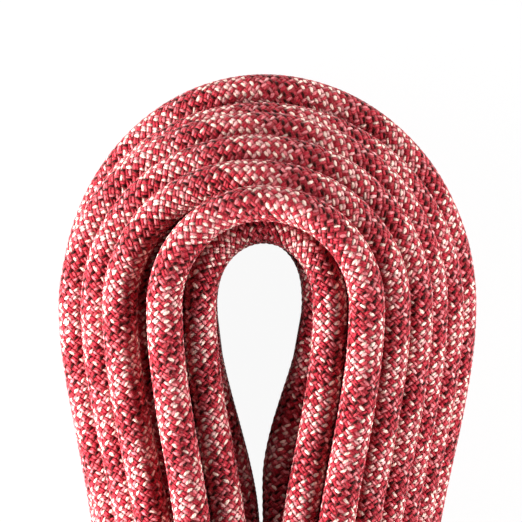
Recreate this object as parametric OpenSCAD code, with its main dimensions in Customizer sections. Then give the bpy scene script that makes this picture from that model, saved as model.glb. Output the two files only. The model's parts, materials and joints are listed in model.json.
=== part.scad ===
// Dynamic climbing rope, put up as a drawn-in hank that lies flat.
// One rope goes round two lobes many times, is wrapped round its own waist, and ends in two
// sleeved tails that lie in the lower lobe's eye. +Y runs along the hank, +Z is up.

/* [Rope] */
// Diameter of the rope
rope_d = 9.8; // [8.5:0.1:11]
// Clear gap between neighbouring turns of the outer layer
turn_gap = 0.9; // [0.8:0.05:0.95]
// Turns that the outer layer of the hank holds
outer_loops = 15; // [8:1:15]

/* [Hank] */
// Length of the straight runs, from lobe centre to lobe centre
run_l = 368; // [340:2:420]
// Clear width of the eye in each lobe
eye_w = 25.4; // [24:0.2:34]
// How much taller than round each lobe is
lobe_stretch = 1.05; // [1:0.01:1.1]
// Length over which a leg is drawn in below the upper lobe
draw_l = 86; // [80:2:96]
// Length over which a leg is drawn in above the lower lobe
lower_draw_l = 112; // [100:2:120]
// Groove that opens on the left leg beside the topmost turn
groove_w = 4; // [0:0.2:5]

/* [Waist wraps] */
// Turns wrapped round the waist, without the part turn that leads out
wrap_turns = 4; // [2:1:5]
// Clear gap between neighbouring wraps, and between the wraps and the legs
wrap_gap = 0.6; // [0.5:0.1:1]
// Bend radius where the rope turns into the wraps
turn_in_r = 24; // [22:1:26]

/* [Rope ends] */
// Clear gap between the two tails
tail_gap = 2; // [1.8:0.1:2.4]
// Length of the heat-shrunk sleeve on each end
sleeve_l = 38; // [30:1:40]
// Wall of the sleeve
sleeve_wall = 0.5; // [0.4:0.1:0.8]
// Clearance between the sleeve and the rope inside it
sleeve_fit = 0.1; // [0.05:0.05:0.2]
// Thickness of the fused tip beyond the sleeve
tip_t = 2.4; // [1.5:0.1:4]
// Wall of the braided sheath
sheath_wall = 1; // [0.8:0.1:1.2]
// Core strands in the outer ring
outer_strands = 9; // [8:1:9]
// Clearance round each core strand
strand_fit = 0.06; // [0.05:0.01:0.1]

/* [Hidden] */

// What follows from the sizes above
step = rope_d + turn_gap;
wrap_step = rope_d + wrap_gap;
flat_cut = rope_d / 10;
rest_z = rope_d / 2 - flat_cut;
lobe_y = run_l / 2;
inner_r = eye_w / 2 + rope_d / 2;
waist_r = rope_d / 2 + turn_gap;
draw_in = inner_r - waist_r;
box_middle = rope_d * [0.069, 0.162];

// Rings of a lobe, and sides of the tubes and of the core
lobe_rings = 8;
loop_sides = 6;
tail_sides = 10;
core_sides = 16;
// Clear gap between the outer layer and the inner turns
core_gap = 0.4;

// A leg's section: the closed line through the outer turns' centres, in rope diameters,
// as distance out from the innermost turn and height above the lowest one. It leans inward
// at the top and is flat below, where the hank lies on its surface.
section_points = [
    [0, 2.2], [0, 3.8], [0, 5.3], [0.4, 6.3], [1.25, 6.5], [2.2, 5.6], [3.1, 4.1],
    [3.75, 2.5], [3.85, 1.2], [3.25, 0.2], [2.2, 0], [1.2, 0], [0.35, 0.8]
];
section_parts = 10;
// Where the first turn lies along that line, and the place of the topmost turn
first_place = -1.5 * rope_d;
top_place = 6;

// Stations along a run: the drawn-in stretch is lifted onto the wraps between the inner two
flat_y = 62;
foot_y = 120;
bend_y = 140;

// How each turn has settled off its place on the upper lobe: its shifts at the lobe's right,
// its top and its left, out and up, in rope diameters
shifts = [
    [[0, 0], [0.16, -0.52], [0, 0]],
    [[0, 0], [0.4, -0.52], [0.08, -0.02]],
    [[-0.12, -0.02], [0.49, -0.56], [0.1, -0.07]],
    [[-0.16, -0.08], [0.47, -0.6], [0.08, -0.12]],
    [[-0.16, -0.13], [0.46, -0.63], [0.08, -0.17]],
    [[-0.15, -0.18], [0.11, -0.62], [-0.21, -0.18]],
    [[-0.18, 0], [-0.34, 0], [-0.3, 0]],
    [[-0.2, -0.03], [-0.5, 0], [-0.02, 0]],
    [[-0.13, 0], [-0.38, 0], [0.07, 0]],
    [[-0.17, 0], [-0.22, 0], [0.27, 0.05]],
    [[-0.08, 0], [-0.32, 0], [-0.1, 0]],
    [[0.12, 0], [0.33, 0], [-0.14, 0]],
    [[0, 0], [0.2, 0], [0, 0]],
    [[0, 0], [0.22, 0], [0.02, 0]],
    [[0, 0], [0.3, 0], [0.04, 0]]
];
// Turns under the edge of the upper eye, which spread into it: their share of the length
// over which a leg is drawn in, at the left and at the right
eye_turns = 5;
eye_shares = [0.77, 0.6];
// How far the inner turns shrink towards the section's middle, to clear the shifts at the
// right, the top and the left
core_middle = [1.9, 3];
core_shrinks = [0.22, 0.37, 0.22];

// The tails lie side by side on the surface, inside the lower eye
tail_x = (rope_d + tail_gap) / 2;
sleeve_r = rope_d / 2 + sleeve_fit + sleeve_wall;
tip_gap = 3;
tail_end_y = -lobe_y - inner_r * lobe_stretch + rope_d / 2 + tip_t + tip_gap;
sleeve_y = tail_end_y + sleeve_l;

// Core strands fill the sheath's bore: three in the middle and a ring round them
middle_strands = 3;
bore_r = rope_d / 2 - sheath_wall;
strand_r = (bore_r - 2 * strand_fit) / 4.2;
ring_r = bore_r - strand_fit - strand_r;
middle_r = (strand_r + strand_fit / 2) / sin(180 / middle_strands);
edge = 0.3;

// Colours of the sheath, the core, the sleeves and the tips
sheath_colour = "indianred";
shade_colour = "firebrick";
core_colour = "white";
sleeve_colour = "dimgray";
tip_colour = "maroon";

function ease(t) = let (c = min(max(t, 0), 1)) c * c * (3 - 2 * c);
function mix(a, b, t) = a + (b - a) * t;
function sums(v) = [for (i = 0, s = 0; i <= len(v); s = s + (i < len(v) ? v[i] : 0), i = i + 1) s];

// A closed smooth curve through the section points
function spline(a, b, c, d, t) =
    0.5 * (2 * b + (c - a) * t + (2 * a - 5 * b + 4 * c - d) * t * t
    + (3 * b - a - 3 * c + d) * t * t * t);
function around(points, i) = points[(i + 2 * len(points)) % len(points)];
outline = [
    for (i = [0:len(section_points) - 1], j = [0:section_parts - 1])
        let (p = spline(around(section_points, i - 1), around(section_points, i),
            around(section_points, i + 1), around(section_points, i + 2), j / section_parts))
        [p[0], max(p[1], 0)] * rope_d
];
outline_sums = sums([for (i = [0:len(outline) - 1]) norm(around(outline, i + 1) - outline[i])]);
outline_l = outline_sums[len(outline)];
out_table = [for (i = [0:len(outline)]) [outline_sums[i], around(outline, i)[0]]];
up_table = [for (i = [0:len(outline)]) [outline_sums[i], around(outline, i)[1]]];
function wrapped(s) = s - outline_l * floor(s / outline_l);
// The point of the section at a distance along its line
function section_at(s) = [lookup(wrapped(s), out_table), lookup(wrapped(s), up_table)];

// Each turn lies one step from the one before, measured straight across
function next_place(from, s) =
    norm(section_at(s) - section_at(from)) >= step ? s : next_place(from, s + rope_d / 100);
places = [
    for (k = 0, s = first_place; k <= outer_loops; s = next_place(s, s + 0.99 * step), k = k + 1) s
];
place_table = [for (k = [0:outer_loops]) [k, places[k]]];
function place_at(k) = lookup(k, place_table);

// How far a leg is drawn in, and lifted onto the wraps, at a distance from the waist
function draw_length(k, side) =
    k < eye_turns ? draw_l * eye_shares[side < 0 ? 0 : 1] : draw_l;
function drawn(y, length) = draw_in * ease((lobe_y - abs(y)) / (y > 0 ? length : lower_draw_l));
function lifted(y) = wrap_step * ease((foot_y - abs(y)) / (foot_y - flat_y));

// The section's point of turn k, and a section point set on a lobe by its angle from the
// right leg, or on a run by its y
function turn_at(k, open) =
    section_at(place_at(k + (k > top_place ? open * groove_w / step : 0)));
function on_lobe(p, end, a) =
    let (r = inner_r + p[0])
    [r * cos(a), end * (lobe_y + r * lobe_stretch * sin(a)), rest_z + p[1]];
function on_run(p, side, y, length = draw_l) =
    [side * (inner_r + p[0] - drawn(y, length)), y, rest_z + p[1] + lifted(y)];

// Three values, at the upper lobe's right, top and left, blended at an angle, and the share
// of the first or the last that is left along a run
function blended(v, a) =
    let (t = ease(a / 90), u = ease(a / 90 - 1)) v[0] * (1 - t) + v[1] * (t - u) + v[2] * u;
function along_leg(v, side, y) = v[side < 0 ? 2 : 0] * ease((y - flat_y) / (lobe_y - flat_y));

run_stations = [bend_y, flat_y, -flat_y, -foot_y];
// A lobe's angle runs from the right leg, 0, to the left leg, 180, where the groove is open
function lobe_angle(i) = 180 * i / (lobe_rings - 1);
function groove(a) = ease((a - 50) / 100);
function upper_lobe(k) = [
    for (i = [lobe_rings - 1:-1:0])
        let (a = lobe_angle(i))
            on_lobe(turn_at(k, groove(a)) + rope_d * blended(shifts[k], a), 1, a)
];
function lower_lobe(k) = [
    for (i = [0:lobe_rings - 1])
        let (a = lobe_angle(i)) on_lobe(turn_at(k, groove(a)), -1, a)
];
function on_left(k, y) =
    on_run(turn_at(k, 1) + rope_d * along_leg(shifts[k], -1, y), -1, y, draw_length(k, -1));
function left_run(k) = [for (i = [3:-1:0]) on_left(k, run_stations[i])];
// A turn climbs to the next place along the right run
function right_run(k) = [
    for (i = [0:3])
        let (y = run_stations[i])
            on_run(section_at(place_at(k + i / 3)) + rope_d * along_leg(shifts[k], 1, y),
                1, y, draw_length(k, 1))
];

// A quarter turn in plan, from one heading to the next, as points after the first
turn_rings = 5;
function quarter(centre, r, a0, a1, z) = [
    for (i = [1:turn_rings])
        let (a = mix(a0, a1, i / turn_rings)) [centre[0] + r * cos(a), centre[1] + r * sin(a), z]
];

// The outer layer: tail A leads in at the left leg, and the last turn leads into the wraps
wrap_y = wrap_step * (wrap_turns + 0.8) / 2;
last = outer_loops - 1;
lead = section_at(places[last]);
meet_y = -flat_y + 2 * rope_d;
lead_x = waist_r + lead[0];
wrap_x = lead_x - turn_in_r - rope_d;
loop_path = [
    each [for (y = [meet_y, flat_y, bend_y]) on_left(0, y)],
    each upper_lobe(0),
    each [
        for (k = [1:last])
            each [each right_run(k - 1), each lower_lobe(k), each left_run(k), each upper_lobe(k)]
    ],
    [inner_r + lead[0] - drawn(bend_y, draw_l), bend_y, rest_z],
    [lead_x, flat_y, rest_z],
    [lead_x, wrap_y + turn_in_r, rest_z],
    each quarter([lead_x - turn_in_r, wrap_y + turn_in_r], turn_in_r, 0, -90, rest_z),
    [wrap_x, wrap_y, rest_z]
];

// The wraps lie one step outside the hull of both legs' sections at the waist
wrap_rings = 20;
waist_points = [
    for (side = [1, -1], p = outline)
        [side * (waist_r + p[0]), rest_z + wrap_step + p[1]]
];
function reach(n) =
    let (along = [for (p = waist_points) p * n], far = search(max(along), along)[0])
    waist_points[far] + wrap_step * n;
wrap_line = [
    for (i = [0:wrap_rings - 1])
        let (a = -90 - 360 * (i + 0.5) / wrap_rings) reach([cos(a), sin(a)])
];
wrap_sums = sums([for (i = [0:wrap_rings - 1]) norm(around(wrap_line, i + 1) - wrap_line[i])]);
wrap_l = wrap_sums[wrap_rings];
function wrap_drift(i, turn) = wrap_y - wrap_step * (turn + wrap_sums[i] / wrap_l);
wrap_end = wrap_line[wrap_rings - 1];
wrap_end_y = wrap_drift(wrap_rings - 1, wrap_turns);
exit_x = wrap_end[0] - rope_d;
exit_turn_r = exit_x - tail_x;
wrap_path = [
    [wrap_x, wrap_y, rest_z],
    [wrap_x - rope_d, wrap_y, rest_z],
    each [
        for (turn = [0:wrap_turns], i = [0:wrap_rings - 1])
            if (turn < wrap_turns || i < wrap_rings - 1)
                [wrap_line[i][0], wrap_drift(i, turn), wrap_line[i][1]]
    ],
    [wrap_end[0], wrap_end_y, rest_z],
    [exit_x, wrap_end_y, rest_z]
];

// The tails: A joins the first turn under the left leg, and B comes out of the last wrap
tail_a_path = [
    [-tail_x, sleeve_y, sleeve_r],
    [-tail_x, sleeve_y + rope_d, sleeve_r],
    on_left(0, -foot_y),
    on_left(0, -flat_y),
    loop_path[0]
];
tail_b_path = [
    [exit_x, wrap_end_y, rest_z],
    each quarter([exit_x, wrap_end_y - exit_turn_r], exit_turn_r, 90, 180, rest_z),
    [tail_x, -foot_y, rest_z],
    [tail_x, sleeve_y + rope_d, sleeve_r],
    [tail_x, sleeve_y, sleeve_r]
];

// A tube of flat-sided rings along a path. up is the direction that every ring keeps
function unit(v) = v / norm(v);
function heading(path, i) =
    let (n = len(path) - 1, a = path[max(i - 1, 0)], b = path[i], c = path[min(i + 1, n)])
    i == 0 ? unit(c - b) : i == n ? unit(b - a) : unit(unit(b - a) + unit(c - b));
function ring(centre, t, sides, up, r) =
    let (x = unit(cross(t, up)), z = cross(x, t))
    [for (j = [0:sides - 1]) let (a = 360 * j / sides) centre + r * (x * cos(a) + z * sin(a))];
function strip(i, sides) = [
    for (j = [0:sides - 1])
        let (a = i * sides + j, b = i * sides + (j + 1) % sides)
        each [[a, b, b + sides], [a, b + sides, a + sides]]
];
module tube(path, sides, up, start = undef) {
    rings = len(path);
    points = [
        for (i = [0:rings - 1])
            let (t = i == 0 && start != undef ? start : heading(path, i))
                each ring(path[i], t, sides, up, rope_d / 2)
    ];
    first_cap = [for (j = [1:sides - 2]) [0, j + 1, j]];
    base = (rings - 1) * sides;
    last_cap = [for (j = [1:sides - 2]) [base, base + j, base + j + 1]];
    polyhedron(points, concat(first_cap, [for (i = [0:rings - 2]) each strip(i, sides)], last_cap));
}
// What lies on the surface is cut flat there
module resting() {
    difference() {
        children();
        translate([-run_l, -run_l, -rope_d])
            cube([2 * run_l, 2 * run_l, rope_d]);
    }
}

// The least gap of a tube to itself, and between two, from points along their centre lines
gap_parts = 2;
function fine(path) = [
    for (i = [0:len(path) - 2], j = [0:gap_parts - 1]) mix(path[i], path[i + 1], j / gap_parts)
];
function self_gap(path) =
    let (p = fine(path), far = gap_parts * 7, n = len(p) - 1)
    min([for (i = [0:n - far]) min([for (j = [i + far:n]) norm(p[i] - p[j])])]) - rope_d;
function pair_gap(a, b) =
    let (p = fine(a), q = fine(b)) min([for (v = p) min([for (w = q) norm(v - w)])]) - rope_d;

// The inner turns as one plain core, a section's width inside the outer layer's line
function inset_at(s, off) =
    let (a = section_at(s - 1), b = section_at(s + 1), t = unit(b - a))
    section_at(s) + off * [-t[1], t[0]];
core_section = [
    for (j = [0:core_sides - 1])
        inset_at(outline_l * j / core_sides, -(rope_d / 2 + core_gap))
];
function shrunk(share) = [
    for (p = core_section) mix(p, rope_d * core_middle, share)
];
function core_run(side, order) = [
    for (i = order)
        let (y = run_stations[i])
            [for (p = shrunk(along_leg(core_shrinks, side, y))) on_run(p, side, y)]
];
core_rings = [
    each core_run(1, [0:3]),
    for (i = [0:lobe_rings - 1]) [for (p = core_section) on_lobe(p, -1, lobe_angle(i))],
    each core_run(-1, [3:-1:0]),
    for (i = [lobe_rings - 1:-1:0])
        let (a = lobe_angle(i)) [for (p = shrunk(blended(core_shrinks, a))) on_lobe(p, 1, a)]
];

module hank_loops() {
    echo(least_gap_of_loops = self_gap(loop_path));
    color(sheath_colour)
        resting() tube(loop_path, loop_sides, [0, 0, 1]);
}
module inner_loops() {
    rings = len(core_rings);
    count = rings * core_sides;
    color(shade_colour)
        polyhedron(
            [for (r = core_rings) each r],
            [for (i = [0:rings - 1]) for (f = strip(i, core_sides)) [for (v = f) v % count]]
        );
}
module waist_wraps() {
    echo(least_gap_of_wraps = self_gap(wrap_path));
    color(sheath_colour)
        resting() tube(wrap_path, loop_sides, [0, 1, 0]);
}
module tail_a() {
    color(sheath_colour)
        resting() tube(tail_a_path, tail_sides, [0, 0, 1]);
}
module tail_b() {
    color(sheath_colour)
        resting() tube(tail_b_path, tail_sides, [0, 0, 1], start = [-1, 0, 0]);
}

// Under each sleeve the rope's own build shows: the sheath, and the strands inside it
module at_end(side) {
    translate([side * tail_x, sleeve_y, sleeve_r])
        rotate([90, 0, 0])
            children();
}
module sheath_end(side) {
    color(sheath_colour)
        at_end(side)
            difference() {
                cylinder(h = sleeve_l, r = rope_d / 2, $fn = 64);
                translate([0, 0, -1])
                    cylinder(h = sleeve_l + 2, r = bore_r, $fn = 64);
            }
}
module strands(count, r) {
    for (i = [0:count - 1])
        rotate([0, 0, 360 * i / count])
            translate([r, 0, 0])
                cylinder(h = sleeve_l, r = strand_r, $fn = 32);
}
module core_strands(side) {
    color(core_colour)
        at_end(side) {
            strands(middle_strands, middle_r);
            strands(outer_strands, ring_r);
        }
}
// The sleeve shrinks on and has soft edges; the tip is the rope melted to a low dome
module end_sleeve(side) {
    inside = sleeve_r - sleeve_wall;
    color(sleeve_colour)
        at_end(side)
            rotate_extrude($fn = 64)
                polygon([
                    [inside, 0], [sleeve_r - edge, 0], [sleeve_r, edge],
                    [sleeve_r, sleeve_l - edge], [sleeve_r - edge, sleeve_l], [inside, sleeve_l]
                ]);
}
module fused_tip(side) {
    rim = rope_d / 2;
    color(tip_colour)
        at_end(side)
            translate([0, 0, sleeve_l])
                rotate_extrude($fn = 64)
                    polygon([
                        [0, 0], [rim, 0], [rim, tip_t / 3],
                        for (a = [15:15:90]) [rim * cos(a), tip_t / 3 + tip_t * 2 / 3 * sin(a)]
                    ]);
}

// The top bulges out on one side, so everything moves over to stand centred on the origin
translate([-box_middle[0], -box_middle[1], 0]) {
    hank_loops();
    inner_loops();
    waist_wraps();
    tail_a();
    tail_b();
    sheath_end(-1);  // sheath_end_a
    sheath_end(1);  // sheath_end_b
    core_strands(-1);  // core_strands_a
    core_strands(1);  // core_strands_b
    end_sleeve(-1);  // end_sleeve_a
    end_sleeve(1);  // end_sleeve_b
    fused_tip(-1);  // fused_tip_a
    fused_tip(1);  // fused_tip_b
}
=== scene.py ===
# %% [markdown]
# # A climbing rope in a wrapped hank
# About thirty metres of dynamic rope are wound into long loops, bound round the waist
# with a few tight turns, and both ends come out of the lower eye. The looks are
# made here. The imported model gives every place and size, so it is loaded first.

# %% Load the frame
import json
import math

import bpy
import numpy as np
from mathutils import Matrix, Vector

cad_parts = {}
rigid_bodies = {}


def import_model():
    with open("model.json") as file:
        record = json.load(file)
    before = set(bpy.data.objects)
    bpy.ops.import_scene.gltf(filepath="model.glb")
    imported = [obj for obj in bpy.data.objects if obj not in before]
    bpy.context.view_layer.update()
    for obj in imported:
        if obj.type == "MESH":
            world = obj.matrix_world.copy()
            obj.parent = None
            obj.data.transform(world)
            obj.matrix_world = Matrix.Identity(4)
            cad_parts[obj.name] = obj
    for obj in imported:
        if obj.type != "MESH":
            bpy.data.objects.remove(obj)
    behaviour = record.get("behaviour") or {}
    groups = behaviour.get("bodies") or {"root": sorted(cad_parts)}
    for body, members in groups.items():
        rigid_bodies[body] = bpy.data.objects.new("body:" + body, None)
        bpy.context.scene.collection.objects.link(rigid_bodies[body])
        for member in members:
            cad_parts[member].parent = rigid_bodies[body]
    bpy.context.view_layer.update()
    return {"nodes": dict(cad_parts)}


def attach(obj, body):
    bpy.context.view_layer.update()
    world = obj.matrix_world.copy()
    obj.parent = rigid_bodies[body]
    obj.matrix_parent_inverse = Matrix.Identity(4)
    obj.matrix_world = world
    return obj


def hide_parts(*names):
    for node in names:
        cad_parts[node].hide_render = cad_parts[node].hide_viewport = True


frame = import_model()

# %% [markdown]
# ## The plan of the hank
# Everything follows from the rope's own diameter. A leg of the hank is a bundle
# of parallel runs, and a closed line through the outer runs' centres gives its
# section. The numbers are the plan's own, in metres, with angles in degrees.

# %% The plan in numbers
ROPE_D, TURN_GAP, WRAP_GAP = 0.0098, 0.0009, 0.0006
STEP, WRAP_STEP = ROPE_D + TURN_GAP, ROPE_D + WRAP_GAP
REST_Z = ROPE_D / 2 - ROPE_D / 10
EYE_W, LOBE_Y, STRETCH = 0.0254, 0.184, 1.05
INNER_R = EYE_W / 2 + ROPE_D / 2
WAIST_R, DRAW_L, GROOVE_W = ROPE_D / 2 + TURN_GAP, 0.112, 0.004
FLAT_Y, FOOT_Y, TURN_IN_R = 0.062, 0.120, 0.024
OUTER_TURNS, WRAP_TURNS, TOP_PLACE = 15, 4, 6
# How far the planned hank's middle is off the origin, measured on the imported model
BOX_MIDDLE = ROPE_D * np.array([0.069, 0.162, 0])
TAIL_GAP, SLEEVE_OVER, SLEEVE_L, TIP_T, TIP_GAP = 0.002, 0.0006, 0.038, 0.0024, 0.003
TAIL_X, SLEEVE_R = (ROPE_D + TAIL_GAP) / 2, ROPE_D / 2 + SLEEVE_OVER
SLEEVE_Y = -LOBE_Y - INNER_R * STRETCH + ROPE_D / 2 + TIP_T + TIP_GAP + SLEEVE_L
print(f"sleeves end at y = {SLEEVE_Y:.5f} m")


# %% [markdown]
# ## A leg's section
# A rope designer would draw this outline by hand. It leans inward at the top and
# is flat below, where the hank lies. A Catmull-Rom curve joins the drawn points,
# and the outer turns are set along it one step apart, measured straight across.

# %% The section and the outer places
def ease(t):
    t = min(max(t, 0.0), 1.0)
    return t * t * (3 - 2 * t)


def curve(a, b, c, d, t):
    return 0.5 * (2 * b + (c - a) * t + (2 * a - 5 * b + 4 * c - d) * t**2
                  + (3 * b - a - 3 * c + d) * t**3)


SECTION = np.array([
    (0, 2.2), (0, 3.8), (0, 5.3), (0.4, 6.3), (1.25, 6.5), (2.2, 5.6), (3.1, 4.1),
    (3.75, 2.5), (3.85, 1.2), (3.25, 0.2), (2.2, 0), (1.2, 0), (0.35, 0.8)])
drawn_line = []
for i in range(len(SECTION)):
    four = [SECTION[(i + k) % len(SECTION)] for k in (-1, 0, 1, 2)]
    drawn_line += [curve(*four, j / 10) * ROPE_D for j in range(10)]
outline = np.array([(out, max(up, 0)) for out, up in drawn_line])
closed = np.vstack([outline, outline[:1]])
along = np.concatenate([[0], np.cumsum(np.linalg.norm(np.diff(closed, axis=0), axis=1))])


def section_at(s):
    s %= along[-1]
    return np.array([np.interp(s, along, closed[:, 0]), np.interp(s, along, closed[:, 1])])


places = [-1.5 * ROPE_D]
while len(places) <= OUTER_TURNS:
    s = places[-1] + 0.99 * STEP
    while np.linalg.norm(section_at(s) - section_at(places[-1])) < STEP:
        s += ROPE_D / 100
    places.append(s)


def place_at(k):
    return section_at(np.interp(k, range(len(places)), places))


print(f"section line {along[-1] * 1000:.1f} mm, {OUTER_TURNS} outer turns on it")

# %% [markdown]
# ## How each turn settles
# In a real hank no turn follows its plan quite. Over the upper lobe the topmost
# turns have slid inward, the outermost has bulged, and those under the eye's edge
# have spread. Each outer turn has three small shifts, at the right of the lobe, at
# its top and at its left, as out and up in rope diameters, and the rest is blended.

# %% The shifts of the outer turns
SHIFTS = [
    [(0, 0), (0.16, -0.52), (0, 0)],
    [(0, 0), (0.4, -0.52), (0.08, -0.02)],
    [(-0.12, -0.02), (0.49, -0.56), (0.1, -0.07)],
    [(-0.16, -0.08), (0.47, -0.6), (0.08, -0.12)],
    [(-0.16, -0.13), (0.46, -0.63), (0.08, -0.17)],
    [(-0.15, -0.18), (0.11, -0.62), (-0.21, -0.18)],
    [(-0.18, 0), (-0.34, 0), (-0.3, 0)],
    [(-0.2, -0.03), (-0.5, 0), (-0.02, 0)],
    [(-0.13, 0), (-0.38, 0), (0.07, 0)],
    [(-0.17, 0), (-0.22, 0), (0.27, 0.05)],
    [(-0.08, 0), (-0.32, 0), (-0.1, 0)],
    [(0.12, 0), (0.33, 0), (-0.14, 0)],
    [(0, 0), (0.2, 0), (0, 0)],
    [(0, 0), (0.22, 0), (0.02, 0)],
    [(0, 0), (0.3, 0), (0.04, 0)]]
print(len(SHIFTS), "outer turns with their shifts")

# %% [markdown]
# ## The inner turns
# About half of a hank's rope is inside. Fifteen more turns fill the middle. Their
# places and shifts, all but two, aren't a plan drawn by hand: a separate program
# pushed fifteen circles apart inside the section, chained them by the shortest
# steps, and its numbers stand here. The section is too small for so many turns,
# so they cut into one another and into the backs of the outer turns.

# %% The places of the inner turns, then their shifts at the right, the top and the left
INNER = [
    [(1.26, 0.90), (0.05, -0.08), (0.04, 0.02), (-0.23, 0.31)],
    [(2.02, 1.59), (0, -0.03), (0.12, -0.13), (-0.07, 0.03)],
    [(2.20, 0.72), (0.09, 0.02), (-0.02, -0.06), (-0.42, -0.01)],
    [(2.98, 1.23), (0.08, 0.11), (0.07, -0.24), (-0.26, -0.28)],
    [(2.90, 2.14), (-0.10, 0.05), (0.08, -0.25), (-0.05, -0.24)],
    [(2.67, 3.06), (-0.15, 0.01), (-0.04, -0.17), (0.22, -0.20)],
    [(1.87, 2.45), (-0.11, -0.04), (0.15, -0.15), (0.13, 0.13)],
    [(1.70, 3.34), (-0.20, -0.03), (0.10, -0.15), (0.05, 0.20)],
    [(2.28, 3.99), (-0.18, -0.01), (-0.05, -0.16), (0.36, -0.31)],
    [(1.72, 4.76), (-0.13, 0), (-0.01, -0.14), (0.25, -0.26)],
    [(1.08, 5.55), (-0.19, -0.07), (0.03, -0.05), (-0.11, -0.06)],
    [(0.77, 4.65), (-0.10, -0.14), (0.26, 0.10), (0.20, -0.10)],
    [(0.92, 3.76), (-0.27, -0.21), (0.29, 0.14), (-0.07, -0.10)],
    [(0.89, 2.76), (-0.13, -0.19), (0.26, 0.07), (0.15, 0.09)],
    [(1.03, 1.82), (-0.02, -0.16), (0.22, 0.03), (0.05, 0.24)]]
# The lengths over which a leg is drawn in above the waist, at the left and at the right. The
# turns under the edge of the eye spread into it, so that they draw in sooner
EYE_TURNS, EYE_SHARES, UPPER_DRAW_L = 5, (0.77, 0.6), 0.086
SLOW, QUICK = (UPPER_DRAW_L, UPPER_DRAW_L), tuple(UPPER_DRAW_L * s for s in EYE_SHARES)


class Turn:
    """One turn's place in the section, with its shifts and the lengths of its drawing in."""

    def __init__(self, spot, shifts, draw):
        self.spot, self.draw = spot, draw
        self.shifts = np.array(shifts) * ROPE_D


def outer_turn(k):
    def spot(opened):
        return place_at(k + (opened * GROOVE_W / STEP if k > TOP_PLACE else 0))
    return Turn(spot, SHIFTS[k], QUICK if k < EYE_TURNS else SLOW)


def inner_turn(place, *shifts):
    return Turn(lambda opened: np.array(place) * ROPE_D, shifts, SLOW)


turns = ([outer_turn(0)] + [inner_turn(*row) for row in INNER]
         + [outer_turn(k) for k in range(1, OUTER_TURNS)])
print(len(turns), "turns in the hank")


# %% [markdown]
# ## The lobes and the runs
# A section point is carried round the hank in two ways. On a lobe it turns about
# the lobe's centre. On a run it follows the leg, which draws in towards the waist
# and rises onto the bottom of the wraps between its two feet.

# %% Points on a lobe and on a run
def drawn(y, length):
    return (INNER_R - WAIST_R) * ease((LOBE_Y - abs(y)) / length)


def lifted(y):
    return WRAP_STEP * ease((FOOT_Y - abs(y)) / (FOOT_Y - FLAT_Y))


def on_lobe(turn, end, degrees):
    """The upper lobe, end 1, has the shifts, and the lower one, end -1, is as planned."""
    p = turn.spot(ease((degrees - 50) / 100))
    if end > 0:
        right, top, left = turn.shifts
        t = ease(degrees / 90), ease(degrees / 90 - 1)
        p = p + right * (1 - t[0]) + top * (t[0] - t[1]) + left * t[1]
    r, a = INNER_R + p[0], math.radians(degrees)
    return (r * math.cos(a), end * (LOBE_Y + r * STRETCH * math.sin(a)), REST_Z + p[1])


def leg_point(turn, side, y):
    """The section point on a leg, side -1 for the left one. The shifts fade towards the waist."""
    p = turn.spot(1 if side < 0 else 0)
    return p + turn.shifts[2 if side < 0 else 0] * ease((y - FLAT_Y) / (LOBE_Y - FLAT_Y))


def on_run(turn, side, y, p=None):
    p = leg_point(turn, side, y) if p is None else p
    length = turn.draw[0 if side < 0 else 1] if y > 0 else DRAW_L
    return (side * (INNER_R + p[0] - drawn(y, length)), y, REST_Z + p[1] + lifted(y))


LOBE_PARTS, RUN_PARTS = 30, 40
RUN_YS = [LOBE_Y * (2 * i / RUN_PARTS - 1) for i in range(RUN_PARTS + 1)]


def lobe(turn, end):
    """Over the upper lobe from left to right, or round the lower one from right to left."""
    order = [180 * i / LOBE_PARTS for i in range(LOBE_PARTS + 1)]
    return [on_lobe(turn, end, a) for a in (reversed(order) if end > 0 else order)]


def left_run(turn):
    return [on_run(turn, -1, y) for y in RUN_YS[1:-1]]


def right_run(turn, after):
    """Down the right leg, from one turn's place to the next one's."""
    run = []
    for y in reversed(RUN_YS[1:-1]):
        t = ease((FOOT_Y - y) / (2 * FOOT_Y))
        a, b = (np.array(on_run(k, 1, y)) for k in (turn, after))
        run.append(tuple((1 - t) * a + t * b))
    return run


# %% [markdown]
# ## The ends of the route
# The first tail comes up from its sleeve in the lower eye and joins the left leg.
# The last turn leaves the right leg on the surface, swings under both legs and is
# wound round the waist, and the second tail comes back down to its own sleeve.

# %% The first tail, the turn in, the wraps and the second tail
def quarter(cx, cy, r, a0, a1, parts=10):
    turn = [math.radians(a0 + (a1 - a0) * i / parts) for i in range(1, parts + 1)]
    return [(cx + r * math.cos(a), cy + r * math.sin(a), REST_Z) for a in turn]


def smoothed(points, parts=4):
    """More points between the given ones, on a Catmull-Rom curve through them."""
    p = np.array(points)
    p = np.vstack([2 * p[0] - p[1], p, 2 * p[-1] - p[-2]])
    fine = [curve(*p[i:i + 4], j / parts) for i in range(len(p) - 3) for j in range(parts)]
    return [tuple(q) for q in fine] + [tuple(p[-2])]


first = turns[0]
tail_a = smoothed([(-TAIL_X, SLEEVE_Y, SLEEVE_R), (-TAIL_X, SLEEVE_Y + ROPE_D, SLEEVE_R),
                   on_run(first, -1, -FOOT_Y), on_run(first, -1, -FOOT_Y + 0.02),
                   on_run(first, -1, -FLAT_Y), on_run(first, -1, -0.04)])
up_left = [on_run(first, -1, y) for y in RUN_YS if -0.035 < y < LOBE_Y - 0.001]

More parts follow.
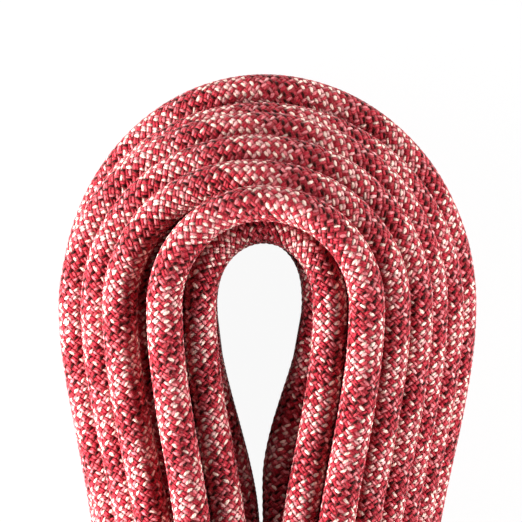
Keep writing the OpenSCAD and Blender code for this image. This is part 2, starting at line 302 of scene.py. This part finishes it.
wrap_y = WRAP_STEP * (WRAP_TURNS + 0.8) / 2
lead = place_at(OUTER_TURNS - 1)
lead_x = WAIST_R + lead[0]
turn_in = [(on_run(turns[-1], 1, y, (lead[0], 0))[0], y, REST_Z) for y in reversed(RUN_YS)
           if wrap_y + TURN_IN_R + 0.004 < y < LOBE_Y - 0.001]
turn_in += [(lead_x, wrap_y + TURN_IN_R, REST_Z)]
turn_in += quarter(lead_x - TURN_IN_R, wrap_y + TURN_IN_R, TURN_IN_R, 0, -90)
turn_in += [(lead_x - TURN_IN_R - 0.5 * ROPE_D, wrap_y, REST_Z)]

# The wraps lie one step outside both legs at the waist
waist = np.array([(side * (WAIST_R + p[0]), REST_Z + WRAP_STEP + p[1])
                  for side in (1, -1) for p in outline])
LAP_PARTS, LAST_LAP_PARTS = 120, 117
hull = []
for i in range(LAP_PARTS):
    a = math.radians(-90 - 360 * (i + 0.5) / LAP_PARTS)
    n = np.array([math.cos(a), math.sin(a)])
    hull.append(waist[np.argmax(waist @ n)] + WRAP_STEP * n)
hull = np.array(hull)
round_ = np.concatenate([[0], np.cumsum(np.linalg.norm(
    np.diff(np.vstack([hull, hull[:1]]), axis=0), axis=1))])
wraps = [(lead_x - TURN_IN_R - 1.5 * ROPE_D, wrap_y, REST_Z)]
for lap in range(WRAP_TURNS + 1):
    for i in range(LAP_PARTS if lap < WRAP_TURNS else LAST_LAP_PARTS):
        wraps.append((hull[i][0], wrap_y - WRAP_STEP * (lap + round_[i] / round_[-1]), hull[i][1]))
print(f"one wrap takes {round_[-1] * 1000:.0f} mm of rope")

exit_x, exit_y = hull[-3][0] - ROPE_D, wraps[-1][1]
exit_r = exit_x - TAIL_X
tail_b = [(exit_x, exit_y, REST_Z)] + quarter(exit_x, exit_y - exit_r, exit_r, 90, 180)
tail_b += smoothed([(TAIL_X, exit_y - exit_r - 0.012, REST_Z), (TAIL_X, -0.095, REST_Z),
                    (TAIL_X, -FOOT_Y, REST_Z + 0.0004), (TAIL_X, SLEEVE_Y + ROPE_D, SLEEVE_R),
                    (TAIL_X, SLEEVE_Y, SLEEVE_R)])

# %% [markdown]
# ## One unbroken line
# The rope is a single line from end to end. The stretches are joined in the order
# in which the rope runs, and the places where each outer turn passes the left
# waist are marked, because the sheath is made turn by turn between them.

# %% Join the stretches
line, marks = list(tail_a), []
marks.append(len(line) - 1)
line += up_left
for n, turn in enumerate(turns):
    if n:
        line += right_run(turns[n - 1], turn)
        line += lobe(turn, -1)
        run = left_run(turn)
        if n > len(INNER):
            marks.append(len(line) + RUN_PARTS // 2 - 1)
        elif n == 1:
            first_end = len(line) + RUN_PARTS // 2 - 1
        line += run
    line += lobe(turn, 1)
line += turn_in
marks.append(len(line) - 1)
line += wraps
wraps_end = len(line) - 1
line += tail_b
line = np.array(line) - BOX_MIDDLE
steps = np.linalg.norm(np.diff(line, axis=0), axis=1)
length_at = np.concatenate([[0], np.cumsum(steps)])
ROPE_L = float(length_at[-1])
print(f"{len(line)} rings on {ROPE_L:.2f} m of rope")
print(f"steps of {steps.min() * 1000:.1f} to {steps.max() * 1000:.1f} mm")


# %% [markdown]
# ## A tube along the line
# A round tube needs a ring at every point, square to the line. Turning each ring
# by the least that the bend needs, ring after ring, keeps the tube from twisting.
# The map runs in metres along the rope and once round it, for the braid to follow.

# %% The rings' directions, and a tube between two of them
def directions(p):
    t = np.empty_like(p)
    t[1:-1] = p[2:] - p[:-2]
    t[0], t[-1] = p[1] - p[0], p[-1] - p[-2]
    t /= np.linalg.norm(t, axis=1)[:, None]
    side = np.empty_like(p)
    side[0] = np.cross(t[0], (0, 0, 1))
    for i in range(1, len(p)):
        s = side[i - 1] - t[i] * (side[i - 1] @ t[i])
        side[i] = s / np.linalg.norm(s)
    return t, side, np.cross(t, side)


ahead_at, side_at, up_at = directions(line)


def finished(name, verts, faces, uvs):
    mesh = bpy.data.meshes.new(name)
    mesh.from_pydata(verts.tolist(), [], faces)
    mesh.uv_layers.new(name="rope").uv.foreach_set("vector", np.array(uvs, np.float32).ravel())
    mesh.polygons.foreach_set("use_smooth", [len(f) == 4 for f in faces])
    piece = bpy.data.objects.new(name, mesh)
    bpy.context.scene.collection.objects.link(piece)
    return piece


def tube(name, rings, sides, radius):
    """A closed-ended tube on these rings, with its map in metres along and turns round."""
    angles = 2 * math.pi * np.arange(sides) / sides
    verts = np.concatenate([line[i] + radius * (np.cos(angles)[:, None] * side_at[i]
                                                + np.sin(angles)[:, None] * up_at[i])
                            for i in rings])
    verts[:, 2] = np.maximum(verts[:, 2], 0)
    faces, uvs = [], []
    for a in range(len(rings) - 1):
        u0, u1 = length_at[rings[a]], length_at[rings[a + 1]]
        for j in range(sides):
            k, b = (j + 1) % sides, a * sides
            faces.append((b + j, b + k, b + sides + k, b + sides + j))
            v0, v1 = j / sides, (j + 1) / sides
            uvs += [(u0, v0), (u0, v1), (u1, v1), (u1, v0)]
    last = (len(rings) - 1) * sides
    for cap, u in ((range(sides - 1, -1, -1), length_at[rings[0]]),
                   (range(last, last + sides), length_at[rings[-1]])):
        faces.append(tuple(cap))
        uvs += [(u, j / sides) for j in range(sides)]
    return finished(name, verts, faces, uvs)


# %% [markdown]
# ## The rope's body
# A kernmantle rope is a core of twisted strands in a braided sheath. The body
# runs the whole length as one tube, a little slimmer than the finished rope.

# %% The body, from end to end
body_rings = sorted(set(range(0, len(line), 2)) | {len(line) - 1})
BODY_SIDES, BODY_R = 16, 0.00478
rope_body = tube("rope_body", body_rings, BODY_SIDES, BODY_R)
print("rope_body:", len(rope_body.data.polygons), "faces")

# %% [markdown]
# ## The sheath
# The sheath is a braid of eleven double yarns each way. Where a yarn crosses over
# it stands up as a small crown, and a valley lies between four crowns. A ring for
# every half crossing, and a side for every half crossing round it, put one point
# on each crown and one in each valley, which is the least that can show them.

# %% The braid's grid, and smooth curves between the line's points
BANDS, LEAD = 11, 0.0262
HALF, SIDES = LEAD / (2 * BANDS), 2 * BANDS
CROWN, VALLEY = 0.00008, -0.00009


def on_the_line(s):
    """The points at these lengths along the line, and the two directions across it."""
    i = np.clip(np.searchsorted(length_at, s, side="right") - 1, 0, len(line) - 2)
    step = (length_at[i + 1] - length_at[i])[:, None]
    t = (s - length_at[i])[:, None] / step
    point = ((2 * t**3 - 3 * t**2 + 1) * line[i] + (3 * t**2 - 2 * t**3) * line[i + 1]
             + step * ((t**3 - 2 * t**2 + t) * ahead_at[i] + (t**3 - t**2) * ahead_at[i + 1]))
    across = [way[i] * (1 - t) + way[i + 1] * t for way in (side_at, up_at)]
    return [point] + [a / np.linalg.norm(a, axis=1)[:, None] for a in across]


print(f"a crown stands {(CROWN - VALLEY) * 1000:.2f} mm over a valley, {HALF * 1000:.2f} mm away")


# %% A tube with the braid's crowns and valleys
def braided_tube(name, start, end, radius):
    """Between two of the line's points, with the map of the plain tube."""
    first, last = math.floor(length_at[start] / HALF), math.ceil(length_at[end] / HALF)
    lengths = np.minimum(np.arange(first, last + 1) * HALF, ROPE_L)
    point, side, up = (a[:, None] for a in on_the_line(lengths))
    k, j = np.arange(first, last + 1)[:, None], np.arange(SIDES)[None]
    r = radius + np.where((k + j) % 2, CROWN, VALLEY)
    angle = 2 * math.pi * j / SIDES
    verts = point + (r * np.cos(angle))[..., None] * side + (r * np.sin(angle))[..., None] * up
    verts[..., 2] = np.maximum(verts[..., 2], 0)
    # A face starts at one of its two valleys, so that its fold runs between them
    ring, spot = np.arange(last - first)[:, None, None], np.arange(SIDES)[None, :, None]
    corner = (np.arange(4) + (first + ring + spot) % 2) % 4
    ring, spot = ring + corner // 2, spot + (corner + 1) // 2 % 2
    faces = (ring * SIDES + spot % SIDES).reshape(-1, 4).tolist()
    uvs = np.stack([lengths[ring], spot / SIDES], axis=-1).reshape(-1, 2).tolist()
    end_ring = (last - first) * SIDES
    for cap, u in ((range(SIDES - 1, -1, -1), lengths[0]),
                   (range(end_ring, end_ring + SIDES), lengths[-1])):
        faces.append(tuple(cap))
        uvs += [(u, j / SIDES) for j in range(SIDES)]
    return finished(name, verts.reshape(-1, 3), faces, uvs)


# %% [markdown]
# ## Turn by turn
# The sheath that shows is laid over the body turn by turn. The turns' stretches
# meet under the wraps, where the joint is out of sight, and all take their braid
# from the same map, so that the pattern runs through. The sheath is a little
# thicker than the rope's own diameter.

# %% The sheath's stretches
TAIL_R, TURN_R = 0.00495, 0.00505
stretches = [("sheath_tail_a", 0, marks[0], TAIL_R)]
stretches += [("sheath_turn_01", marks[0], first_end, TURN_R)]
stretches += [(f"sheath_turn_{k + 1:02d}", marks[k], marks[k + 1], TURN_R)
              for k in range(1, OUTER_TURNS)]
stretches += [("sheath_wraps", marks[-1], wraps_end, TURN_R),
              ("sheath_tail_b", wraps_end, len(line) - 1, TAIL_R)]
sheath = [braided_tube(*stretch) for stretch in stretches]
print(len(sheath), "stretches,", sum(len(o.data.polygons) for o in sheath), "faces")


# %% [markdown]
# ## Nodes in a few words
# Each finish is a small net of nodes. Two helpers keep the cells short: one adds
# a node and links its inputs, and one does the same for sums.

# %% Helpers for node nets
def new_net(name):
    material = bpy.data.materials.new(name)
    material.use_nodes = True
    net = material.node_tree
    return material, net, net.nodes["Principled BSDF"]


def node(net, kind, inputs=(), **settings):
    n = net.nodes.new("ShaderNode" + kind)
    for key, value in settings.items():
        setattr(n, key, value)
    for key, value in dict(inputs).items():
        socket = n.inputs[key]
        if isinstance(value, bpy.types.NodeSocket):
            net.links.new(value, socket)
        else:
            socket.default_value = value
    return n


def sums(net, operation, *values):
    return node(net, "Math", dict(enumerate(values)), operation=operation).outputs[0]


def blend_colours(net, factor, a, b, how="MIX"):
    n = node(net, "Mix", {0: factor, 6: a, 7: b}, data_type="RGBA", blend_type=how)
    return n.outputs[2]


# %% [markdown]
# ## The braid
# The two families of yarns wind round the core in opposite hands and pass over
# and under each other one by one. In the map, each family is a set of slanted
# bands. Where the two band numbers add up to an even number
# the first family is on top, and otherwise the second. Every yarn has its own
# colour: the first family carries a group of dark yarns and a group of pale ones,
# and the second is crimson and rose with a few pale yarns. A yarn sinks between
# its neighbours, and there a painted shade of dark crimson is mixed into its
# colour, so only the crown of each float shows its full colour. Each float and
# filament is also painted a little lighter or darker at random, partly as the
# yarns' uneven tone and partly as painted glints.

# %% The yarns' colours
CREAM, BLUSH, PINK = (0.96, 0.68, 0.58, 1), (0.86, 0.43, 0.42, 1), (0.68, 0.18, 0.20, 1)
CRIMSON, ROSE = (0.38, 0.018, 0.034, 1), (0.50, 0.053, 0.071, 1)
# The colour after UMBER is no yarn but painted shade, dark crimson, for the hollows where yarns sink
UMBER, PAINTED_SHADE = (0.03, 0.002, 0.002, 1), (0.33, 0.008, 0.014, 1)
# Each pair is one band's two yarns
FIRST = [UMBER, PINK, ROSE, UMBER, UMBER, CRIMSON, UMBER, ROSE, CRIMSON, UMBER,
         CREAM, CRIMSON, CREAM, PINK, CREAM, BLUSH, CREAM, ROSE, CREAM, PINK, CREAM, CRIMSON]
SECOND = [CRIMSON, ROSE, PINK, CRIMSON, CREAM, ROSE, CRIMSON, PINK, ROSE, CRIMSON, PINK,
          CRIMSON, BLUSH, ROSE, CRIMSON, CRIMSON, ROSE, PINK, CRIMSON, BLUSH, PINK, ROSE]


def banded(net, number, colours):
    """A colour for each yarn's number, as steps of a ramp."""
    turn = sums(net, "FLOORED_MODULO", number, float(len(colours)))
    ramp = node(net, "ValToRGB", {0: sums(net, "DIVIDE", sums(net, "ADD", turn, 0.5),
                                          float(len(colours)))})
    ramp.color_ramp.interpolation = "CONSTANT"
    stops = ramp.color_ramp.elements
    while len(stops) < len(colours):
        stops.new(0.5)
    for i, colour in enumerate(colours):
        stops[i].position, stops[i].color = i / len(colours), colour
    return ramp.outputs[0]


# %% The braid's net of nodes
def on_the_rope(net):
    """How far along the rope, in metres, and how far round it, in turns."""
    uv = node(net, "SeparateXYZ", {0: node(net, "UVMap", uv_map="rope").outputs[0]})
    return uv.outputs[0], uv.outputs[1]


def braid(name, depth, place):
    material, net, shader = new_net(name)
    along, turn = place(net)
    wander = node(net, "TexNoise", {"Vector": node(net, "TexCoord").outputs["Object"],
                                    "Scale": 300.0, "Detail": 1.0})
    sway = node(net, "SeparateColor", {0: wander.outputs["Color"]})
    u = sums(net, "MULTIPLY", along, BANDS / LEAD)
    v = sums(net, "MULTIPLY", turn, BANDS)
    stray = [sums(net, "MULTIPLY_ADD", sway.outputs[i], 0.6, -0.3) for i in (0, 1)]
    p = sums(net, "ADD", sums(net, "SUBTRACT", u, v), stray[0])
    q = sums(net, "ADD", sums(net, "ADD", u, v), stray[1])
    ip, iq = sums(net, "FLOOR", p), sums(net, "FLOOR", q)
    under = sums(net, "FLOORED_MODULO", sums(net, "ADD", ip, iq), 2.0)

    def choose(a, b):
        return node(net, "Mix", {0: under, 2: a, 3: b}, data_type="FLOAT").outputs[0]

    # Each band is two yarns side by side, and a float is round across and dips at its ends
    over, other = choose(p, q), choose(q, p)
    pair = sums(net, "MULTIPLY", over, 2.0)
    across = sums(net, "SUBTRACT", sums(net, "FRACT", pair), 0.5)
    lengthways = sums(net, "SUBTRACT", sums(net, "FRACT", other), 0.5)
    x2 = sums(net, "POWER", sums(net, "ABSOLUTE", sums(net, "MULTIPLY", across, 2.0)), 2.0)
    y2 = sums(net, "POWER", sums(net, "ABSOLUTE", sums(net, "MULTIPLY", lengthways, 2.0)), 2.0)
    # A float is widest at its middle and narrows to where it dives under
    x2 = sums(net, "MULTIPLY", x2, sums(net, "ADD", 0.8, sums(net, "MULTIPLY", y2, 2.5)))
    rise = sums(net, "SUBTRACT", sums(net, "SUBTRACT", 1.0, sums(net, "MULTIPLY", x2, 0.4)), y2)
    edge = sums(net, "ABSOLUTE", sums(net, "SUBTRACT", sums(net, "FRACT", over), 0.5))
    edge = node(net, "MapRange", {0: edge, 1: 0.3, 2: 0.5, 3: 0.0, 4: 0.5},
                interpolation_type="SMOOTHSTEP").outputs[0]
    rise = sums(net, "SUBTRACT", rise, edge)
    # Filaments run along their yarn, and each float's and filament's brightness is painted at random,
    # partly as the yarns' uneven tone and partly as painted glints
    number = node(net, "CombineXYZ", {0: sums(net, "FLOOR", pair), 1: sums(net, "FLOOR", other)})
    chance = node(net, "TexWhiteNoise", {"Vector": number.outputs[0]},
                  noise_dimensions="3D").outputs[0]
    strands = node(net, "CombineXYZ", {0: sums(net, "MULTIPLY", across, 9.0),
                                       1: sums(net, "MULTIPLY", lengthways, 2.0),
                                       2: sums(net, "MULTIPLY", chance, 50.0)})
    fibre = node(net, "TexNoise", {"Vector": strands.outputs[0], "Scale": 1.0,
                                   "Detail": 2.0}).outputs[0]
    yarn = blend_colours(net, under, banded(net, sums(net, "FLOOR", sums(
        net, "MULTIPLY", p, 2.0)), FIRST), banded(net, sums(net, "FLOOR", sums(
            net, "MULTIPLY", q, 2.0)), SECOND))
    # Painted glints and random tone: this brightness is multiplied into the yarn's colour
    tone_and_glint = sums(net, "ADD", sums(net, "MULTIPLY", fibre, 0.6), sums(
        net, "ADD", 0.42, sums(net, "MULTIPLY", chance, 0.56)))
    yarn = blend_colours(net, 1.0, yarn, node(net, "CombineColor", {
        k: tone_and_glint for k in range(3)}).outputs[0], "MULTIPLY")
    # Painted shade: where the float sinks, its colour is mixed towards the dark crimson shade colour
    shown = sums(net, "SUBTRACT", rise, sums(net, "MULTIPLY", x2, 0.4))
    shade_mask = node(net, "MapRange", {0: shown, 1: -0.3, 2: 0.6, 3: 0.0, 4: 1.0},
               interpolation_type="SMOOTHSTEP").outputs[0]
    shaded_yarn = blend_colours(net, 0.28, PAINTED_SHADE, yarn)
    net.links.new(blend_colours(net, shade_mask, shaded_yarn, yarn), shader.inputs["Base Color"])
    height = sums(net, "ADD", rise, sums(net, "MULTIPLY", fibre, 0.2))
    bump = node(net, "Bump", {"Height": height, "Strength": 1.0, "Distance": depth})
    net.links.new(bump.outputs[0], shader.inputs["Normal"])
    shader.inputs["Roughness"].default_value = 0.45
    shader.inputs["Specular IOR Level"].default_value = 0.14
    shader.inputs["Specular Tint"].default_value = (1, 0.6, 0.55, 1)
    shader.inputs["Sheen Weight"].default_value = 0.2
    shader.inputs["Sheen Roughness"].default_value = 0.3
    shader.inputs["Sheen Tint"].default_value = (1, 0.72, 0.66, 1)
    return material


braid_finish = braid("braided_nylon", 0.00042, on_the_rope)
print("braid finish:", len(braid_finish.node_tree.nodes), "nodes")

# %% [markdown]
# ## Dress the rope
# The body and every stretch of the sheath take the same braid.

# %% Give the rope its finish, its body and its slot
for piece in [rope_body, *sheath]:
    piece.data.materials.append(braid_finish)
    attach(piece, "root")
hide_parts("hank_loops", "inner_loops", "waist_wraps", "tail_a", "tail_b")
print(len(sheath) + 1, "pieces dressed")

# %% [markdown]
# ## The two ends
# A rope is cut with a hot blade, which melts the nylon into a low dome and keeps
# the sheath and the core together. A short tube is then shrunk over each end with
# hot air, and it takes the braid's ribs, faintly. Inside it the sheath goes on to
# the cut, round the core's white strands, whose twist is in their finish only. The
# two ends mirror each other, so one finish serves both.

# %% Finishes for the ends
def on_an_end(net):
    """How far along an end, in metres, and how far round it, in turns."""
    spot = node(net, "SeparateXYZ", {0: node(net, "TexCoord").outputs["Object"]})
    out = sums(net, "ABSOLUTE", sums(net, "ADD", spot.outputs[0], BOX_MIDDLE[0]))
    out = sums(net, "SUBTRACT", out, TAIL_X)
    up = sums(net, "SUBTRACT", spot.outputs[2], SLEEVE_R)
    return spot.outputs[1], sums(net, "DIVIDE", sums(net, "ARCTAN2", up, out), 2 * math.pi)


def cloud(net, scale, detail=3.0):
    place = node(net, "TexCoord").outputs["Object"]
    return node(net, "TexNoise", {"Vector": place, "Scale": scale, "Detail": detail}).outputs[0]


def raised(net, shader, height, depth):
    bump = node(net, "Bump", {"Height": height, "Strength": 1.0, "Distance": depth})
    net.links.new(bump.outputs[0], shader.inputs["Normal"])


def shrunk_tube():
    material, net, shader = new_net("shrunk_tube")
    along, turn = on_an_end(net)
    u = sums(net, "MULTIPLY", along, math.pi * BANDS / LEAD)
    v = sums(net, "MULTIPLY", turn, math.pi * BANDS)
    ribs = sums(net, "ABSOLUTE", sums(net, "MULTIPLY", sums(net, "SINE", sums(
        net, "ADD", u, v)), sums(net, "SINE", sums(net, "SUBTRACT", u, v))))
    scuffs = node(net, "MapRange", {0: cloud(net, 900.0, 6.0), 1: 0.5, 2: 0.75}).outputs[0]
    worn = sums(net, "MULTIPLY", scuffs, node(net, "MapRange", {0: ribs, 1: 0.0, 2: 0.8}).outputs[0])
    plain = blend_colours(net, cloud(net, 120.0), (0.012, 0.012, 0.014, 1), (0.030, 0.028, 0.029, 1))
    net.links.new(blend_colours(net, worn, plain, (0.11, 0.10, 0.10, 1)), shader.inputs["Base Color"])
    rough = node(net, "MapRange", {0: scuffs, 3: 0.34, 4: 0.62}).outputs[0]
    net.links.new(rough, shader.inputs["Roughness"])
    raised(net, shader, sums(net, "ADD", ribs, cloud(net, 260.0)), 0.00016)
    return material


def melted_nylon():
    material, net, shader = new_net("melted_nylon")
    place = node(net, "TexCoord").outputs["Object"]
    bubbles = node(net, "TexVoronoi", {"Vector": place, "Scale": 1500.0}).outputs["Distance"]
    swirl = node(net, "TexNoise", {"Vector": place, "Scale": 420.0, "Detail": 4.0,
                                   "Distortion": 1.6}).outputs[0]
    ramp = node(net, "ValToRGB", {0: swirl})
    stops = ramp.color_ramp.elements
    stops[0].position, stops[0].color = 0.30, (0.030, 0.003, 0.003, 1)
    stops[1].position, stops[1].color = 0.72, (0.46, 0.21, 0.17, 1)
    stops.new(0.5).color = (0.120, 0.008, 0.012, 1)
    stops.new(0.6).color = (0.240, 0.020, 0.030, 1)
    net.links.new(ramp.outputs[0], shader.inputs["Base Color"])
    shader.inputs["Roughness"].default_value = 0.22
    raised(net, shader, sums(net, "ADD", bubbles, swirl), 0.00035)
    return material


def twisted_strands():
    material, net, shader = new_net("twisted_strands")
    place = node(net, "SeparateXYZ", {0: node(net, "TexCoord").outputs["Object"]})
    side = sums(net, "MULTIPLY", sums(net, "ADD", place.outputs[0], place.outputs[2]), 700.0)
    plies = sums(net, "FRACT", sums(net, "ADD", side, sums(
        net, "MULTIPLY", place.outputs[1], 330.0)))
    crown = sums(net, "SINE", sums(net, "MULTIPLY", plies, math.pi))
    # Painted shade darkens the grooves between the plies, with a random tone on top
    groove_shade_and_tone = sums(net, "MULTIPLY", sums(net, "POWER", crown, 0.5), sums(
        net, "ADD", 0.6, sums(net, "MULTIPLY", cloud(net, 1800.0), 0.5)))
    net.links.new(blend_colours(net, groove_shade_and_tone, (0.34, 0.30, 0.25, 1), (0.86, 0.83, 0.77, 1)),
                  shader.inputs["Base Color"])
    shader.inputs["Roughness"].default_value = 0.6
    raised(net, shader, crown, 0.0002)
    return material


finishes = {"sheath_end": braid("braided_end", 0.0006, on_an_end),
            "core_strands": twisted_strands(), "end_sleeve": shrunk_tube(),
            "fused_tip": melted_nylon()}
for name, thing in frame["nodes"].items():
    if name[:-2] in finishes:
        for place in thing.material_slots:
            place.material = finishes[name[:-2]]
        print(name, "has", finishes[name[:-2]].name)

# %% [markdown]
# ## The surface, the light and the view
# A pale floor carries the hank. The key lamp stands low and far out at the left,
# so that each strand shades the next, and a weaker one stands opposite. Long low
# strips at both sides, and a lamp beyond the upper lobe, draw out the rope's
# rounded edges. The view is from straight above.

# %% Floor
bpy.ops.object.select_all(action="DESELECT")
bpy.ops.mesh.primitive_plane_add(size=6, location=(0, 0, -0.0002))
floor = bpy.context.object
floor.name = "floor"
floor_finish, net, shader = new_net("pale_floor")
speckle = node(net, "TexNoise", {"Vector": node(net, "TexCoord").outputs["Object"], "Scale": 40.0})
tint = blend_colours(net, speckle.outputs[0], (0.91, 0.91, 0.91, 1), (0.93, 0.93, 0.93, 1))
net.links.new(tint, shader.inputs["Base Color"])
shader.inputs["Roughness"].default_value = 0.9
shader.inputs["Specular IOR Level"].default_value = 0.1
path = node(net, "LightPath")
seen = sums(net, "MINIMUM", 1.0, sums(net, "ADD", path.outputs["Is Camera Ray"], sums(
    net, "ADD", path.outputs["Is Glossy Ray"], path.outputs["Is Transmission Ray"])))
white = node(net, "Emission", {"Color": (1, 1, 1, 1), "Strength": 1.0})
both = node(net, "MixShader", {0: sums(net, "MULTIPLY", seen, 0.94), 1: shader.outputs[0],
                               2: white.outputs[0]})
net.links.new(both.outputs[0], net.nodes["Material Output"].inputs["Surface"])
floor.data.materials.append(floor_finish)


# %% Lamps and world
def lamp(name, place, aim, long, wide, power):
    data = bpy.data.lights.new(name, "AREA")
    data.shape, data.size, data.size_y, data.energy = "RECTANGLE", long, wide, power
    made = bpy.data.objects.new(name, data)
    made.location = place
    made.rotation_euler = (Vector(aim) - Vector(place)).to_track_quat("-Z", "Y").to_euler()
    made.visible_camera = False
    bpy.context.scene.collection.objects.link(made)


lamp("key", (-1.5, -0.5, 0.6), (-0.03, 0.1, 0.04), 0.4, 0.4, 54)
lamp("left_strip", (-0.36, 0.0, 0.16), (-0.03, 0.0, 0.04), 0.9, 0.1, 4.5)
lamp("fill", (1.5, -0.2, 0.6), (0.03, 0.1, 0.04), 0.6, 0.6, 22)
lamp("right_strip", (0.38, 0.0, 0.16), (0.03, 0.0, 0.04), 0.9, 0.1, 2)
lamp("far_lamp", (0.0, 1.3, 0.25), (0.0, 0.1, 0.04), 0.6, 0.2, 6)
world = bpy.data.worlds.new("studio")
world.use_nodes = True
world.node_tree.nodes["Background"].inputs["Color"].default_value = (1, 1, 1, 1)
world.node_tree.nodes["Background"].inputs["Strength"].default_value = 0.15
bpy.context.scene.world = world
bpy.context.scene.view_settings.view_transform = "Standard"

# %% Camera
camera_data = bpy.data.cameras.new("camera")
# At 1.25 m from the lens the view is 0.146 m wide
SENSOR_W, VIEW_AT, VIEW_W = 36, 1.25, 0.14616
camera_data.sensor_width = SENSOR_W
camera_data.lens = SENSOR_W * VIEW_AT / VIEW_W
camera = bpy.data.objects.new("camera", camera_data)
camera.location = (-0.0014, 0.195, 1.318)
bpy.context.scene.collection.objects.link(camera)
bpy.context.scene.camera = camera
print(f"lens {camera_data.lens:.0f} mm, {camera.location.z:.2f} m above the floor")
